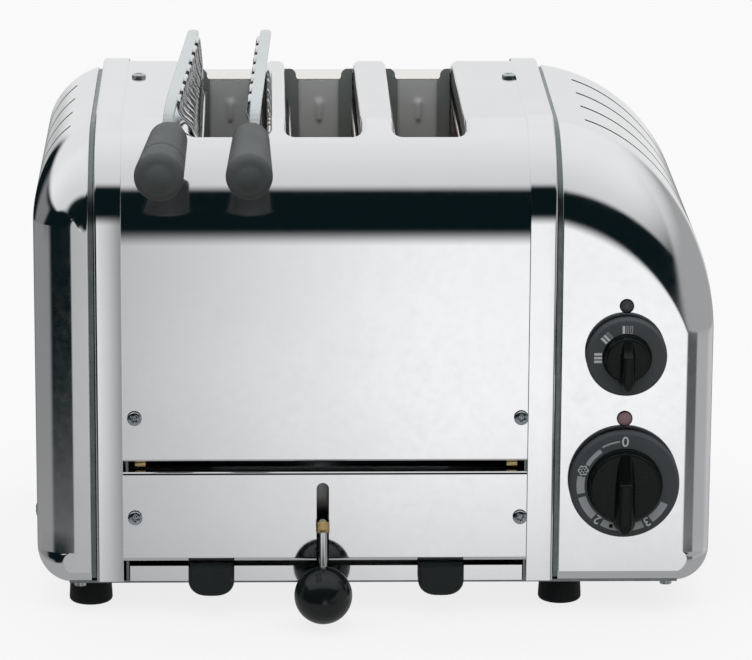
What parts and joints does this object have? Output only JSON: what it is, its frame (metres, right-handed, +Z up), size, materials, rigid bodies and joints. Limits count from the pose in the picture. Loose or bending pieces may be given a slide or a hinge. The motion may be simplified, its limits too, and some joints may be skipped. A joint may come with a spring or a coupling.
{
  "type": "toaster",
  "caption": "Polished steel toaster with curved cast ends, toast slots from front to back, a ball lever, two black knobs and a sandwich cage in the left slot",
  "frame": {"origin": "on the table, under the middle of the whole outline with the cage's grips", "axes": "+X to the right along the width, towards the knobs; +Y from the front to the back; +Z up"},
  "size_m": [0.3138, 0.3003, 0.2363],
  "materials": {
    "polished_casting": "mirror-polished aluminium casting",
    "polished_steel": "mirror-polished stainless sheet",
    "frame_steel": "plain rolled steel sheet",
    "wire_steel": "bright plated wire and strip",
    "screw_steel": "nickel-plated steel",
    "brass_parts": "turned brass",
    "black_rubber": "matt black rubber",
    "black_plastic": "satin black moulded plastic",
    "gloss_black": "glossy black ball",
    "pink_lens": "faded red lens",
    "dark_lens": "dark smoked lens",
    "mica": "mica card with heating wire"
  },
  "bodies": {
    "chassis": {"right_end_casting": "polished_casting", "left_end_casting": "polished_casting", "right_band": "polished_steel", "left_band": "polished_steel", "top_cover": "polished_steel", "front_lower_panel": "polished_steel", "left_frame_plate": "frame_steel", "right_frame_plate": "frame_steel", "front_inner_plate": "frame_steel", "rear_inner_plate": "frame_steel", "base_plate": "frame_steel", "feet": "black_rubber", "foot_screws": "screw_steel", "base_screws": "screw_steel", "side_screws": "screw_steel", "panel_screws": "screw_steel", "top_screws": "screw_steel", "guide_rods": "screw_steel", "bread_guards": "wire_steel", "timer_unit": "black_plastic", "selector_switch": "black_plastic", "lower_lamp": "pink_lens", "upper_lamp": "dark_lens", "cord_inlet": "black_plastic", "terminal_block": "black_plastic", "heating_element_1": "mica", "heating_element_2": "mica", "heating_element_3": "mica", "heating_element_4": "mica"},
    "carriage": {"carriage_plate": "frame_steel", "lift_bushes": "brass_parts", "bread_racks": "frame_steel", "lever_bar": "screw_steel", "lever_stem": "screw_steel", "lever_ferrule": "brass_parts", "lever_ball": "gloss_black"},
    "cage": {"cage_left_half": "wire_steel", "cage_right_half": "wire_steel", "cage_left_grip": "black_plastic", "cage_right_grip": "black_plastic", "cage_hinge_pins": "wire_steel"},
    "timer_dial": {"timer_knob": "black_plastic", "timer_shaft": "screw_steel"},
    "selector_dial": {"selector_knob": "black_plastic", "selector_shaft": "screw_steel"},
    "tray": {"crumb_tray": "frame_steel", "tray_grips": "black_plastic"}
  },
  "joints": [
    {"name": "carriage_lift", "type": "slide", "parent": "chassis", "child": "carriage", "axis": [0, 0, 1], "range_m": [0, 0.017]},
    {"name": "cage_lift", "type": "slide", "parent": "carriage", "child": "cage", "axis": [0, 0, 1], "range_m": [0, 0.14]},
    {"name": "timer_turn", "type": "hinge", "parent": "chassis", "child": "timer_dial", "pos_m": [0.114, -0.065, 0.0633], "axis": [0, 1, 0], "range_deg": [0, 245]},
    {"name": "selector_turn", "type": "hinge", "parent": "chassis", "child": "selector_dial", "pos_m": [0.114, -0.065, 0.1235], "axis": [0, 1, 0], "range_deg": [0, 90]},
    {"name": "crumb_tray_slide", "type": "slide", "parent": "chassis", "child": "tray", "axis": [0, -1, 0], "range_m": [0, 0.0035]}
  ]
}
